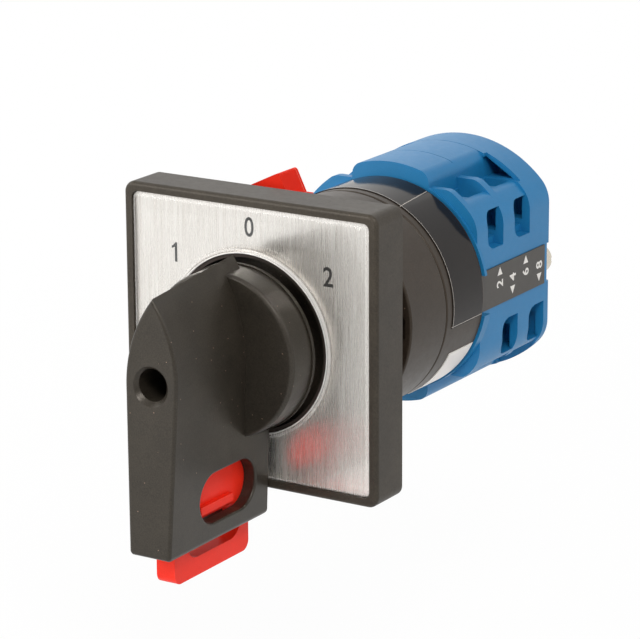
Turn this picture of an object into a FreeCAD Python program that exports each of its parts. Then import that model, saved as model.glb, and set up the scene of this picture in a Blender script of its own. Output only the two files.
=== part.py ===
import FreeCAD, Part
import math
import os

# Rotary cam switch for a panel front, millimetres. X right, Y towards the back of
# the panel, Z up. The switch shaft lies on the Y axis and the back of the square
# front plate, the face that lies on the panel, is at Y = 0.

# Square front plate
frame_width = 64.0
frame_depth = 10.4
frame_corner_radius = 2.5
frame_edge_round = 0.9
frame_wall = 2.4
frame_front_wall = 2.4
lip_width = 2.0
lip_height = 1.6
legend_thickness = 0.6
cover_thickness = 1.1
cover_bevel = 0.7
cover_rim_width = 1.25
cover_rim_height = 0.7
cover_edge_gap = 0.1
hub_hole_radius = 0.31 * frame_width
seal_wall = 0.8
seal_length = 5.0
seal_stand = 0.2
recess_floor = 3.5
spigot_radius = 11.0
spigot_length = 5.0
spigot_bore = 7.6

# Plate screws and the panel between plate and bracket
plate_screw_spacing = 48.0
plate_screw_radius = 2.0
plate_screw_head_radius = 3.9
plate_screw_head_height = 2.6
plate_screw_sink = 0.2
plate_screw_hole_gap = 0.2
plate_screw_boss_wall = 2.2
panel_thickness = 3.0

# Lock ring in the plate that the slider nose enters
lock_ring_inner = 7.4
lock_ring_outer = 10.6
lock_ring_height = 5.8
lock_slot_gap = 0.4

# Handle
hub_side_gap = 0.84
hub_radius = hub_hole_radius - seal_wall - hub_side_gap
hub_standoff = 2.9
hub_thickness = 8.2
hub_cavity_depth = 4.6
hub_wall = 1.9
hub_edge_round = 0.9
hub_skirt_width = 0.35
hub_skirt_length = 0.9
blade_standoff = 1.4
blade_reach = 36.75
blade_tilt = 0.045
blade_bottom = 37.3
blade_half_front = 6.4
blade_half_rear = 6.5
blade_half_bottom = 5.1
blade_apex_front = 18.1
blade_apex_rear = 21.3
pointer_rear = 16.2
blade_edge_round = 0.7
boss_radius = 6.2
boss_rear_gap = 0.7
screw_bore_radius = 3.5
screw_bore_chamfer = 0.8
screw_seat_wall = 3.0
socket_depth = 14.8

# Padlock window and red slider
window_front = 37.6
window_rear = 16.6
window_top = 22.0
window_bottom = 33.0
window_edge_round = 0.5
slider_half = 2.3
slider_gap = 0.1
slider_front = 43.0
slider_rear = 15.0
slider_top = 19.6
slider_bottom = 44.6
slider_corner = 2.2
slider_travel = 6.2
slider_hole_height = 8.0
slider_hole_front = 38.4
slider_hole_rear = 18.0
rib_top = 29.6
rib_height = 1.8
rib_proud = 1.1
rib_front = 34.4
rib_rear = 22.4
nose_length = 8.0
nose_height = 3.1
nose_radius_in = 12.9
arm_depth = 4.0
return_spring_y = 31.0
return_spring_radius = 1.6
return_spring_wire = 0.5
return_spring_top = 6.9
return_spring_turns = 6

# Shaft
shaft_square = 7.0
shaft_pin_radius = 3.0
shaft_pin_length = 2.2
shaft_play = 0.05
handle_screw_radius = 2.0
handle_screw_head_radius = 3.0
handle_screw_head_height = 3.0
handle_screw_length = 16.0

# Bracket behind the panel
bracket_width = 55.0
bracket_corner = 5.0
bracket_thickness = 3.0
bracket_boss_radius = 3.2
bracket_boss_height = 2.0

# Red locking lever
lever_pivot_x = -16.4
lever_pivot_z = 22.0
lever_angle = 26.0
lever_length = 17.3
lever_half_width = 4.6
lever_gap = 0.2
lever_thickness = 7.4
lever_corner = 0.8
tongue_half = 2.4
tongue_depth = 3.2
tongue_bite = 1.3
tongue_side_gap = 0.5
tongue_swing_room = 2.6
lever_screw_radius = 2.5
lever_thread_step = 0.5
lever_screw_head_radius = 4.2
lever_screw_head_height = 1.7

# Round black housings
housing_radius = 24.75
across = housing_radius / 24.75
neck_radius = 16.0 * across
collar_radius = 13.5 * across
collar_bore = 6.55 * across
housing_front = 16.0
front_housing_length = 15.6
latch_housing_length = 17.0
housing_wall = 2.3
housing_face = 2.5
housing_edge_round = 0.6
housing_screw_offset = 19.0 * across
housing_screw_radius = 1.5 * across
housing_screw_head_radius = 2.7 * across
housing_screw_head_height = 2.0
housing_screw_sink = 0.3
housing_post_radius = 3.6 * across
recess_rim = 1.25
recess_depth = 1.8

# Detent and end stops
star_mean_radius = 13.2 * across
star_depth = 0.8 * across
star_notches = 8
star_thickness = 5.6
star_front = 20.6
journal_radius = 6.5 * across
journal_front = 12.0
leaf_thickness = 0.5 * across
leaf_width = 4.6
leaf_offset = 16.75 * across
leaf_half_length = 13.4 * across
bump_radius = 1.7 * across
bump_gap = 0.05 * across
leaf_set = 1.0 * across
leaf_shoulder = 0.7 * across
leaf_block_width = 3.0 * across
leaf_block_height = 2.2 * across
stop_disc_front = 37.0
stop_disc_thickness = 6.0
stop_disc_radius = 8.0 * across
stop_lug_radius = 16.0 * across
stop_lug_half_angle = 12.0
switch_angle = 45.0
stop_gap_angle = 0.5
stop_block_angle = 12.0

# Blue contact stack
stage_half_width = 22.5 * across
dome_radius = 28.2 * across
dome_half_width = 10.1 * across
dome_corner = 3.0 * across
lobe_radius = 27.7 * across
lobe_top = 23.2 * across
lobe_corner = 3.6 * across
lobe_side_round = 8.0 * across
lower_fin_top = 20.6 * across
lower_floor = 19.7 * across
lower_fin_end = 6.4
lower_set_back = 2.1
upper_set_back = 0.5
front_disc_radius = 25.3 * across
pocket_floor = 20.6 * across
fin_thickness = 2.4
stage_pitch = 12.6
first_seam_upper = 12.7
seam_stagger = 7.3
cover_length = 9.9
chamber_depth = 6.6
cam_bore = 9.6 * across
stage_front_wall = 4.0
chamber_floor = 10.8 * across
chamber_half = 9.4 * across
chamber_top = 19.6 * across
dome_chamber_half = 6.6 * across
dome_chamber_top = 25.6 * across
window_low = 9.0 * across
window_high = 17.8 * across
window_depth = 7.3
window_corner = 3.0
window_rim = 2.1
wall_recess = 4.6
thin_wall_recess = 1.4
wall_recess_outer = 20.4 * across
rear_groove_half = 4.6 * across
rear_groove_depth = 1.3
rear_groove_from = 14.6 * across
cover_edge_round = 0.6
cover_set_back = 1.3
corner_opening_depth = 7.0
seam_groove_width = 0.2
seam_groove_depth = 0.3

# Cams, plungers and moving contacts
half_stroke = 0.9 * across
cam_mean_radius = 8.1 * across
cam_active_angle = 66.0
cam_clearance = 0.1 * across
nose_round = 1.3 * across
nose_half_depth = 2.0
plunger_half_width = 4.0 * across
plunger_half_depth = 3.1
plunger_side_gap = 0.15
peg_radius = 1.3 * across
peg_height = 4.0 * across
bridge_half_length = 8.7 * across
bridge_half_depth = 2.0
bridge_thickness = 1.2 * across
contact_spring_radius = 2.1 * across
contact_spring_wire = 0.6 * across
contact_spring_turns = 5
closed_gap = 0.02

# Fixed contacts and terminal clamps
strip_inner = 5.4 * across
strip_outer = 17.2 * across
strip_half_depth = 2.6
strip_thickness = 1.2 * across
rivet_x = 7.4 * across
rivet_radius = 1.3 * across
rivet_height = 0.9 * across
clamp_x = 13.75 * across
clamp_screw_radius = 1.75
clamp_screw_head_radius = 2.9
clamp_screw_head_height = 2.4
well_side_gap = 0.25
clamp_screw_tip = 3.8
clamp_plate_half = 2.85
clamp_plate_thickness = 1.0
wire_gap = 2.2

# Through bolts
bolt_x = 19.0 * across
bolt_radius = 2.0 * across
bolt_hole_gap = 0.15
bolt_head_radius = 3.5 * across
bolt_head_height = 3.5
bolt_head_round = 1.2
bolt_slot_depth = 1.2
bolt_boss_radius = 5.2 * across
bolt_nut_flats = 7.0 * across
bolt_nut_height = 3.2
bolt_nut_sink = 0.2

# Printed strips and labels
number_strip_half = 4.67 * across
number_strip_thickness = 0.3
number_strip_front_margin = 1.0
number_strip_rear_margin = 2.9
label_thickness = 0.2
label_seat_gap = 0.01
label_front = 34.2
label_rear_margin = 0.5
label_start_angle = -50.0
label_end_angle = 99.5
sticker_start_angle = 116.0
sticker_end_angle = 152.0
sticker_front = 37.0

# Places that follow from the sizes above
plate_face = -frame_depth + lip_height
legend_front = plate_face - legend_thickness
cover_front = legend_front - cover_thickness
frame_back_gap = -frame_depth + lip_height + frame_front_wall
hub_rear = -frame_depth - hub_standoff
hub_front = hub_rear - hub_thickness
blade_rear = -frame_depth - blade_standoff
blade_front = -frame_depth - blade_reach
boss_rear = -recess_floor - boss_rear_gap
socket_bottom = boss_rear - socket_depth
screw_seat = socket_bottom - screw_seat_wall
bracket_front = panel_thickness
bracket_back = bracket_front + bracket_thickness
latch_front = housing_front + front_housing_length
stack_front = latch_front + latch_housing_length
seam_upper = [stack_front + first_seam_upper + stage_pitch * i for i in range(2)]
seam_lower = [s + seam_stagger for s in seam_upper]
stack_rear = seam_upper[1] + cover_length
groove_floor = stack_rear - rear_groove_depth
cam_rear = seam_lower[1] - 0.8
cam_length = stage_pitch
lift_per_degree = half_stroke / switch_angle
strip_top = chamber_floor + strip_thickness
well_inner = clamp_x - clamp_screw_head_radius - well_side_gap
well_outer = clamp_x + clamp_screw_head_radius + well_side_gap
tongue_tip = collar_radius - tongue_bite
rivet_top = strip_top + rivet_height
bridge_rest = rivet_top + closed_gap + half_stroke
nose_rest = cam_mean_radius + cam_clearance


def box(x0, x1, y0, y1, z0, z1):
    """A box between six coordinates."""
    return Part.makeBox(x1 - x0, y1 - y0, z1 - z0, FreeCAD.Vector(x0, y0, z0))


def rod(radius, y0, y1, x=0.0, z=0.0):
    """A cylinder that runs along Y."""
    return Part.makeCylinder(radius, y1 - y0, FreeCAD.Vector(x, y0, z), FreeCAD.Vector(0, 1, 0))


def post(radius, z0, z1, x=0.0, y=0.0):
    """A cylinder that runs along Z."""
    return Part.makeCylinder(radius, z1 - z0, FreeCAD.Vector(x, y, z0), FreeCAD.Vector(0, 0, 1))


def ring(outer, inner, y0, y1):
    """A tube that runs along Y."""
    return rod(outer, y0, y1).cut(rod(inner, y0, y1))


def prism(points, y0, y1):
    """A closed outline given as (x, z) points, carried from y0 to y1."""
    corners = [FreeCAD.Vector(x, y0, z) for x, z in points]
    face = Part.Face(Part.makePolygon(corners + corners[:1]))
    return face.extrude(FreeCAD.Vector(0, y1 - y0, 0))


def side_prism(points, x0, x1):
    """A closed outline given as (y, z) points, carried from x0 to x1."""
    corners = [FreeCAD.Vector(x0, y, z) for y, z in points]
    face = Part.Face(Part.makePolygon(corners + corners[:1]))
    return face.extrude(FreeCAD.Vector(x1 - x0, 0, 0))


def sector(outer, inner, start, end, y0, y1):
    """Part of a tube, angles in degrees from the top, turning to the right."""
    body = Part.makeCylinder(outer, y1 - y0, FreeCAD.Vector(0, 0, 0), FreeCAD.Vector(0, 0, 1), end - start)
    body = body.cut(Part.makeCylinder(inner, y1 - y0))
    body.rotate(FreeCAD.Vector(0, 0, 0), FreeCAD.Vector(0, 0, 1), 90.0 - end)
    body.rotate(FreeCAD.Vector(0, 0, 0), FreeCAD.Vector(1, 0, 0), 90.0)
    body.translate(FreeCAD.Vector(0, y1, 0))
    return body


def rounded(solid, radius, wanted):
    """The solid with the edges picked by wanted(middle point, direction) rounded."""
    edges = []
    for edge in solid.Edges:
        middle = edge.valueAt((edge.FirstParameter + edge.LastParameter) / 2.0)
        ends = [v.Point for v in edge.Vertexes]
        along = (ends[-1] - ends[0]) if len(ends) > 1 else FreeCAD.Vector(0, 0, 0)
        if wanted(middle, along):
            edges.append(edge)
    return solid.makeFillet(radius, edges) if edges else solid


def runs_along_y(direction):
    """True where an edge runs along the Y axis."""
    return abs(direction.x) < 1e-6 and abs(direction.z) < 1e-6 and abs(direction.y) > 1e-6


def turned(solid, degrees):
    """A copy turned about the shaft, positive from the top to the right."""
    copy = solid.copy()
    copy.rotate(FreeCAD.Vector(0, 0, 0), FreeCAD.Vector(0, 1, 0), degrees)
    return copy


def square_bar(side, y0, y1):
    """A square bar about the shaft axis."""
    return box(-side / 2, side / 2, y0, y1, -side / 2, side / 2)


def stadium(y_front, y_rear, z_low, z_high, x0, x1):
    """A long hole with round ends, seen from the side and cut along X."""
    radius = (z_high - z_low) / 2.0
    middle = (z_high + z_low) / 2.0
    body = box(x0, x1, y_front + radius, y_rear - radius, z_low, z_high)
    for y in (y_front + radius, y_rear - radius):
        end = Part.makeCylinder(radius, x1 - x0, FreeCAD.Vector(x0, y, middle), FreeCAD.Vector(1, 0, 0))
        body = body.fuse(end)
    return body.removeSplitter()


def coil(radius, wire, z0, z1, turns, x, y):
    """A compression spring along Z with a square wire, made of short straight steps."""
    steps = int(turns * 10)
    height = z1 - z0 - wire
    sections = []
    for i in range(steps + 1):
        a = 2 * math.pi * turns * i / steps
        level = z0 + wire / 2 + height * i / steps
        corners = []
        for dr, dz in ((-0.5, -0.5), (0.5, -0.5), (0.5, 0.5), (-0.5, 0.5)):
            r = radius + dr * wire
            corners.append(FreeCAD.Vector(x + r * math.cos(a), y + r * math.sin(a), level + dz * wire))
        sections.append(Part.makePolygon(corners + corners[:1]))
    return Part.makeLoft(sections, True, True)


def plate_screw_places():
    half = plate_screw_spacing / 2.0
    return [(sx * half, sz * half) for sx in (-1, 1) for sz in (-1, 1)]


def front_frame():
    """The square plate: lip round the front, hub recess, hollow back and spigot."""
    half = frame_width / 2.0
    body = box(-half, half, -frame_depth, 0, -half, half)
    body = rounded(body, frame_corner_radius, lambda m, d: runs_along_y(d))
    body = rounded(body, frame_edge_round, lambda m, d: m.y < -frame_depth + 1e-6)
    inner = half - lip_width
    pocket = box(-inner, inner, -frame_depth - 1, plate_face, -inner, inner)
    pocket = rounded(pocket, frame_corner_radius - 1.0, lambda m, d: runs_along_y(d))
    body = body.cut(pocket)
    room = half - frame_wall
    hollow = box(-room, room, frame_back_gap, 1, -room, room)
    hollow = hollow.cut(rod(hub_hole_radius + 2.0, frame_back_gap - 1, 2))
    for x, z in plate_screw_places():
        hollow = hollow.cut(rod(plate_screw_head_radius + plate_screw_boss_wall, frame_back_gap - 1, 2, x, z))
    body = body.cut(hollow)
    seal_seat = plate_face + seal_length - seal_stand - cover_thickness - legend_thickness
    body = body.cut(rod(hub_hole_radius, -frame_depth - 1, seal_seat))
    body = body.cut(rod(hub_hole_radius - seal_wall, seal_seat - 1, -recess_floor))
    body = body.fuse(rod(spigot_radius, -recess_floor, bracket_front + spigot_length))
    body = body.fuse(lock_ring())
    body = body.cut(rod(spigot_bore, -recess_floor - 0.01, bracket_front + spigot_length + 1))
    body = body.cut(rod(lock_ring_inner, -frame_depth, 0))
    for x, z in plate_screw_places():
        body = body.cut(rod(plate_screw_radius + plate_screw_hole_gap, -frame_depth, 1, x, z))
        head_seat = plate_face + plate_screw_head_height + plate_screw_sink
        body = body.cut(rod(plate_screw_head_radius + plate_screw_hole_gap, -frame_depth, head_seat, x, z))
    return body.removeSplitter()


def lock_ring():
    """The fixed ring with a slot for each position of the handle."""
    body = ring(lock_ring_outer, lock_ring_inner - 0.5, -recess_floor - lock_ring_height, -recess_floor)
    half = slider_half + lock_slot_gap
    for angle in (-switch_angle, 0.0, switch_angle):
        slot = box(-half, half, -frame_depth - 5, -recess_floor, -lock_ring_outer - 1, -3.0)
        body = body.cut(turned(slot, angle))
    return body


def frame_screws():
    """Four cheese-head screws under the legend plate."""
    seat = plate_face + plate_screw_head_height + plate_screw_sink
    solids = []
    for x, z in plate_screw_places():
        head = rod(plate_screw_head_radius, seat - plate_screw_head_height, seat, x, z)
        shank = rod(plate_screw_radius, seat, bracket_back + bracket_boss_height, x, z)
        solids.append(head.fuse(shank))
    return Part.makeCompound(solids)


def legend_plate():
    """The metal plate that carries the position numbers."""
    inner = frame_width / 2.0 - lip_width - cover_edge_gap
    body = box(-inner, inner, legend_front, plate_face, -inner, inner)
    body = rounded(body, frame_corner_radius - 1.0, lambda m, d: runs_along_y(d))
    return body.cut(rod(hub_hole_radius, legend_front - 1, plate_face + 1))


def clear_cover():
    """The clear cover over the legend plate, bevelled outside, with a raised rim."""
    inner = frame_width / 2.0 - lip_width - cover_edge_gap
    body = box(-inner, inner, cover_front, legend_front, -inner, inner)
    body = rounded(body, frame_corner_radius - 1.0, lambda m, d: runs_along_y(d))
    edges = [e for e in body.Edges if all(abs(v.Point.y - cover_front) < 1e-6 for v in e.Vertexes)]
    body = body.makeChamfer(cover_bevel, edges)
    rim = rod(hub_hole_radius + cover_rim_width, cover_front - cover_rim_height, cover_front)
    rim = rounded(rim, cover_rim_height * 0.6, lambda m, d: m.y < cover_front - cover_rim_height + 1e-6)
    body = body.fuse(rim)
    return body.cut(rod(hub_hole_radius, cover_front - 2, legend_front + 1)).removeSplitter()


def seal_ring():
    """The dark ring that lines the hub opening."""
    start = cover_front - seal_stand
    seat = plate_face + seal_length - seal_stand - cover_thickness - legend_thickness
    return ring(hub_hole_radius, hub_hole_radius - seal_wall, start, seat)


def blade_wire(y, apex, half, bottom_half):
    """Outline of the blade at one depth: straight flanks under a pointed arch."""
    radius = (half * half + apex * apex) / (2.0 * half)
    centre = half - radius
    middle = math.atan2(apex, -centre) / 2.0
    mx, mz = centre + radius * math.cos(middle), radius * math.sin(middle)
    low = FreeCAD.Vector(bottom_half, y, -blade_bottom)
    low_left = FreeCAD.Vector(-bottom_half, y, -blade_bottom)
    side = FreeCAD.Vector(half, y, 0)
    side_left = FreeCAD.Vector(-half, y, 0)
    top = FreeCAD.Vector(0, y, apex)
    edges = [
        Part.makeLine(low_left, low),
        Part.makeLine(low, side),
        Part.Arc(side, FreeCAD.Vector(mx, y, mz), top).toShape(),
        Part.Arc(top, FreeCAD.Vector(-mx, y, mz), side_left).toShape(),
        Part.makeLine(side_left, low_left),
    ]
    return Part.Wire(edges)


def blade():
    """The grip blade, cut by a front face that leans out towards the bottom."""
    depth = blade_reach + 6.0
    slope = (blade_apex_rear - blade_apex_front) / (blade_reach - blade_standoff)
    far = -frame_depth - depth
    apex_far = blade_apex_front - slope * (depth - blade_reach)
    rear = blade_wire(blade_rear, blade_apex_rear, blade_half_rear, blade_half_bottom)
    front = blade_wire(far, apex_far, blade_half_front, blade_half_bottom)
    body = Part.makeLoft([rear, front], True, True)
    low, high = -60.0, 60.0
    face = [
        (blade_front + blade_tilt * low, low), (blade_front + blade_tilt * high, high),
        (far - 10, high), (far - 10, low),
    ]
    body = body.cut(side_prism(face, -20, 20))
    tip = box(-20, 20, -pointer_rear, 0, 0, 40)
    return body.cut(tip)


def handle():
    """The turning handle: hub, blade, screw bore, square socket and slider slot."""
    body = rounded(blade(), blade_edge_round, lambda m, d: front_edge(m))
    hub = rod(hub_radius, hub_front, hub_rear)
    hub = rounded(hub, hub_edge_round, lambda m, d: m.y < hub_front + 1e-6)
    skirt = rod(hub_radius + hub_skirt_width, hub_rear - hub_skirt_length, hub_rear)
    body = body.fuse(hub).fuse(skirt).fuse(rod(boss_radius, hub_rear - 1, boss_rear))
    cavity = ring(hub_radius - hub_wall, boss_radius + 2.0, hub_rear - hub_cavity_depth, hub_rear + 6)
    keep = box(-20, 20, -60, 0, -60, -hub_radius + hub_wall)
    body = body.cut(cavity.cut(keep))
    body = body.cut(screw_bore())
    body = body.cut(slider_slot())
    body = body.cut(stadium(-window_front, -window_rear, -window_bottom, -window_top, -20, 20))
    return rounded(body.removeSplitter(), window_edge_round, lambda m, d: window_edge(m))


def window_edge(middle):
    """True on the outline of the padlock window in the flanks."""
    across_flank = abs(middle.x) > slider_half + 1.0
    in_depth = -window_front - 0.1 < middle.y < -window_rear + 0.1
    return across_flank and in_depth and -window_bottom - 0.1 < middle.z < -window_top + 0.1


def front_edge(middle):
    """True on the outline of the blade's front face."""
    return abs(middle.y - blade_front - blade_tilt * middle.z) < 0.02


def screw_bore():
    """The bore from the front for the handle screw, and the socket behind it."""
    bore = rod(screw_bore_radius, blade_front - 10, screw_seat)
    lead = Part.makeCone(
        screw_bore_radius + screw_bore_chamfer + 2.0, screw_bore_radius,
        screw_bore_chamfer + 2.0, FreeCAD.Vector(0, blade_front - 2.0, 0), FreeCAD.Vector(0, 1, 0))
    bore = bore.fuse(lead).fuse(rod(handle_screw_radius, screw_seat - 1, boss_rear + 1))
    return bore.fuse(square_bar(shaft_square, socket_bottom, boss_rear + 1))


def slider_slot():
    """The slot that the red slider runs in, with its spring pocket."""
    half = slider_half + slider_gap
    top = -(slider_top - slider_travel) + 0.3
    slot = box(-half, half, -slider_front - slider_gap, -slider_rear + slider_gap, -blade_bottom - 1, top)
    arm_top = -(nose_radius_in - slider_travel) + 0.2
    arm = box(-half, half, -slider_rear - arm_depth - slider_gap, hub_rear + 5, -slider_top - 3, arm_top)
    pocket_radius = return_spring_radius + return_spring_wire / 2 + 0.2
    pocket = post(pocket_radius, top - 1, -return_spring_top, 0, -return_spring_y)
    return slot.fuse(arm).fuse(pocket)


def lock_slider():
    """The red slider: plate, shackle hole, finger ribs, arm and locking nose."""
    plate = box(-slider_half, slider_half, -slider_front, -slider_rear, -slider_bottom, -slider_top)
    plate = rounded(plate, slider_corner, lambda m, d: abs(m.z + slider_bottom) < 1e-6 and abs(d.x) > 1)
    rib_low = rib_top + rib_height
    hole_top = rib_low + 1.1
    hole = stadium(-slider_hole_front, -slider_hole_rear, -hole_top - slider_hole_height, -hole_top, -9, 9)
    plate = plate.cut(hole)
    proud = slider_half + rib_proud
    plate = plate.fuse(box(-proud, proud, -rib_front, -rib_rear, -rib_low, -rib_top))
    half = slider_half
    arm = box(-half, half, -slider_rear - arm_depth, -slider_rear, -slider_top - 1, -nose_radius_in)
    nose_low = -nose_radius_in - nose_height
    nose = box(-half, half, -slider_rear - 1, -slider_rear + nose_length, nose_low, -nose_radius_in)
    return plate.fuse(arm).fuse(nose).removeSplitter()


def slider_spring():
    """The spring that pushes the slider out again."""
    low, high = -slider_top, -return_spring_top
    return coil(
        return_spring_radius, return_spring_wire, low, high, return_spring_turns, 0, -return_spring_y)


def shaft():
    """The square shaft with a round pin at its rear end."""
    body = square_bar(shaft_square, socket_bottom, cam_rear)
    pin_end = cam_rear + shaft_pin_length
    body = body.fuse(rod(shaft_pin_radius, cam_rear - 1, pin_end))
    thread = rod(handle_screw_radius, socket_bottom - 1, screw_seat + handle_screw_length)
    return body.cut(thread).removeSplitter()


def handle_screw():
    """The screw that holds the handle on the shaft."""
    head = rod(handle_screw_head_radius, screw_seat - handle_screw_head_height, screw_seat)
    slot = box(-4, 4, screw_seat - 5, screw_seat - handle_screw_head_height + 1.2, -0.5, 0.5)
    return head.cut(slot).fuse(rod(handle_screw_radius, screw_seat, screw_seat + handle_screw_length))


def mounting_bracket():
    """The black bracket behind the panel: plate, screw bosses and round neck."""
    half = bracket_width / 2.0
    body = box(-half, half, bracket_front, bracket_back, -half, half)
    body = rounded(body, bracket_corner, lambda m, d: runs_along_y(d))
    boss_end = bracket_back + bracket_boss_height
    for x, z in plate_screw_places():
        body = body.fuse(rod(bracket_boss_radius, bracket_back - 1, boss_end, x, z))
    body = body.fuse(rod(neck_radius, bracket_back - 1, housing_front))
    body = body.cut(rod(spigot_radius, bracket_front - 1, bracket_front + spigot_length))
    body = body.cut(rod(journal_radius + 1.0, bracket_front - 1, housing_front + 1))
    body = body.cut(rod(collar_radius, bracket_front + spigot_length + 1.5, housing_front + 1))
    y0, y1 = tongue_span()
    gap = tongue_side_gap
    low, high = -tongue_half - gap, tongue_half + gap + tongue_swing_room
    body = body.cut(box(low, high, y0 - gap, y1 + gap, 8, neck_radius + 2))
    for x, z in plate_screw_places():
        body = body.cut(rod(plate_screw_radius, bracket_front - 1, boss_end + 1, x, z))
    thread = lever_screw_radius - lever_thread_step
    body = body.cut(rod(thread, bracket_front - 1, bracket_back + 1, lever_pivot_x, lever_pivot_z))
    return body.removeSplitter()


def tongue_span():
    """Front and rear of the lever's tongue along Y."""
    middle = bracket_back + lever_gap + lever_thickness / 2.0 + 0.6
    return middle - tongue_depth / 2.0, middle + tongue_depth / 2.0


def lock_lever():
    """The red lever: arm, round pivot end and the tongue that holds the housing."""
    y0 = bracket_back + lever_gap
    y1 = y0 + lever_thickness
    arm = box(0, lever_length, y0, y1, -lever_half_width, lever_half_width)
    arm = rounded(arm, lever_corner, lambda m, d: runs_along_y(d) and m.x > 1)
    arm = arm.fuse(rod(lever_half_width, y0, y1))
    arm.rotate(FreeCAD.Vector(0, 0, 0), FreeCAD.Vector(0, 1, 0), -lever_angle)
    arm.translate(FreeCAD.Vector(lever_pivot_x, 0, lever_pivot_z))
    t0, t1 = tongue_span()
    reach = lever_pivot_z + math.tan(math.radians(lever_angle)) * (-lever_pivot_x - tongue_half)
    arm = arm.fuse(box(-tongue_half, tongue_half, t0, t1, tongue_tip, reach))
    bore = rod(lever_screw_radius + shaft_play, y0 - 1, y1 + 1, lever_pivot_x, lever_pivot_z)
    return arm.cut(bore).removeSplitter()


def lever_screw():
    """The shoulder screw that the red lever turns on."""
    top = bracket_back + lever_thickness + 2 * lever_gap
    body = rod(lever_screw_radius, bracket_back, top, lever_pivot_x, lever_pivot_z)
    head = rod(lever_screw_head_radius, top, top + lever_screw_head_height, lever_pivot_x, lever_pivot_z)
    head = head.cut(box(
        lever_pivot_x - 5, lever_pivot_x + 5, top + lever_screw_head_height - 0.8, top + 5,
        lever_pivot_z - 0.5, lever_pivot_z + 0.5))
    thread_radius = lever_screw_radius - lever_thread_step
    thread = rod(thread_radius, bracket_front, bracket_back, lever_pivot_x, lever_pivot_z)
    return body.fuse(head).fuse(thread)


def front_housing():
    """The front cup of the switch: collar, detent room and two screw posts."""
    rear = latch_front
    body = rod(housing_radius, housing_front, rear)
    body = rounded(body, housing_edge_round, lambda m, d: True)
    body = body.cut(rod(housing_radius - housing_wall, housing_front + housing_face, rear + 1))
    for z in (-housing_screw_offset, housing_screw_offset):
        body = body.fuse(rod(housing_post_radius, housing_front + 0.7, rear, 0, z))
    for sx in (-1, 1):
        for sz in (-1, 1):
            body = body.fuse(leaf_block(sx, sz))
    collar_front = bracket_front + spigot_length + 1.5
    body = body.fuse(rod(collar_radius, collar_front, housing_front + 1))
    body = body.cut(rod(collar_bore, collar_front - 1, star_front - 1))
    y0, y1 = tongue_span()
    gap = tongue_side_gap
    low, high = -tongue_half - gap, tongue_half + gap + tongue_swing_room
    notch = box(low, high, y0 - gap, y1 + gap, tongue_tip - 0.4, collar_radius + 1)
    body = body.cut(notch)
    for z in (-housing_screw_offset, housing_screw_offset):
        body = body.cut(rod(housing_screw_radius, housing_front - 1, rear + 1, 0, z))
        seat = housing_front + housing_screw_head_height + housing_screw_sink
        body = body.cut(rod(housing_screw_head_radius + 0.2, housing_front - 1, seat, 0, z))
    body = body.cut(side_recess())
    return body.removeSplitter()


def leaf_block(sx, sz):
    """One of the four blocks that the ends of the detent leaves lean on."""
    inner = leaf_offset + leaf_thickness / 2.0
    x0, x1 = sorted((sx * inner, sx * (inner + leaf_block_width)))
    z0, z1 = sorted((sz * (leaf_half_length - leaf_block_height), sz * leaf_half_length))
    block = box(x0, x1, housing_front + 0.7, star_front + star_thickness, z0, z1)
    return block.common(rod(housing_radius - 0.5, housing_front, latch_front))


def side_recess():
    """The small tapered recess in the front rim, on both sides."""
    outline = [(-2.1, -3.2), (-0.3, -2.2), (-0.3, 2.1), (-0.9, 2.9), (-2.1, 3.1)]
    rim = housing_radius - recess_rim
    right = prism([(rim + x, z) for x, z in outline], housing_front - 1, housing_front + recess_depth)
    return right.fuse(turned(right, 180.0))


def star_points():
    """Outline of the detent wheel, with valleys left and right at rest."""
    points = []
    for i in range(96):
        a = 2 * math.pi * i / 96
        r = star_mean_radius - star_depth * math.cos(star_notches * a)
        points.append((r * math.sin(a), r * math.cos(a)))
    return points


def detent_wheel():
    """The notched wheel with its front journal."""
    body = prism(star_points(), star_front, star_front + star_thickness)
    body = body.fuse(rod(journal_radius, journal_front, star_front + 1))
    return body.cut(square_bar(shaft_square, journal_front - 1, star_front + star_thickness + 1))


def strip_outline(path, thickness):
    """Outline of a thin strip that follows a path of (x, z) points."""
    left, right = [], []
    for i, (x, z) in enumerate(path):
        x0, z0 = path[max(i - 1, 0)]
        x1, z1 = path[min(i + 1, len(path) - 1)]
        half = thickness / 2.0 / math.hypot(x1 - x0, z1 - z0)
        nx, nz = (z0 - z1) * half, (x1 - x0) * half
        left.append((x + nx, z + nz))
        right.append((x - nx, z - nz))
    return left + right[::-1]


def detent_leaf():
    """A steel leaf with a bump that drops into the notches, on the right side."""
    radius = bump_radius - leaf_thickness / 2.0
    centre = star_mean_radius - star_depth + bump_gap + bump_radius
    shoulder = leaf_offset - leaf_set
    half = bump_radius + leaf_shoulder
    path = [(leaf_offset, -leaf_half_length), (shoulder, -half)]
    for i in range(7):
        a = math.radians(-75 + 25 * i)
        path.append((centre - radius * math.cos(a), radius * math.sin(a)))
    path += [(shoulder, half), (leaf_offset, leaf_half_length)]
    middle = star_front + star_thickness / 2.0
    return prism(strip_outline(path, leaf_thickness), middle - leaf_width / 2, middle + leaf_width / 2)


def detent_springs():
    """The two detent leaves."""
    leaf = detent_leaf()
    return Part.makeCompound([leaf, turned(leaf, 180.0)])


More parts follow.
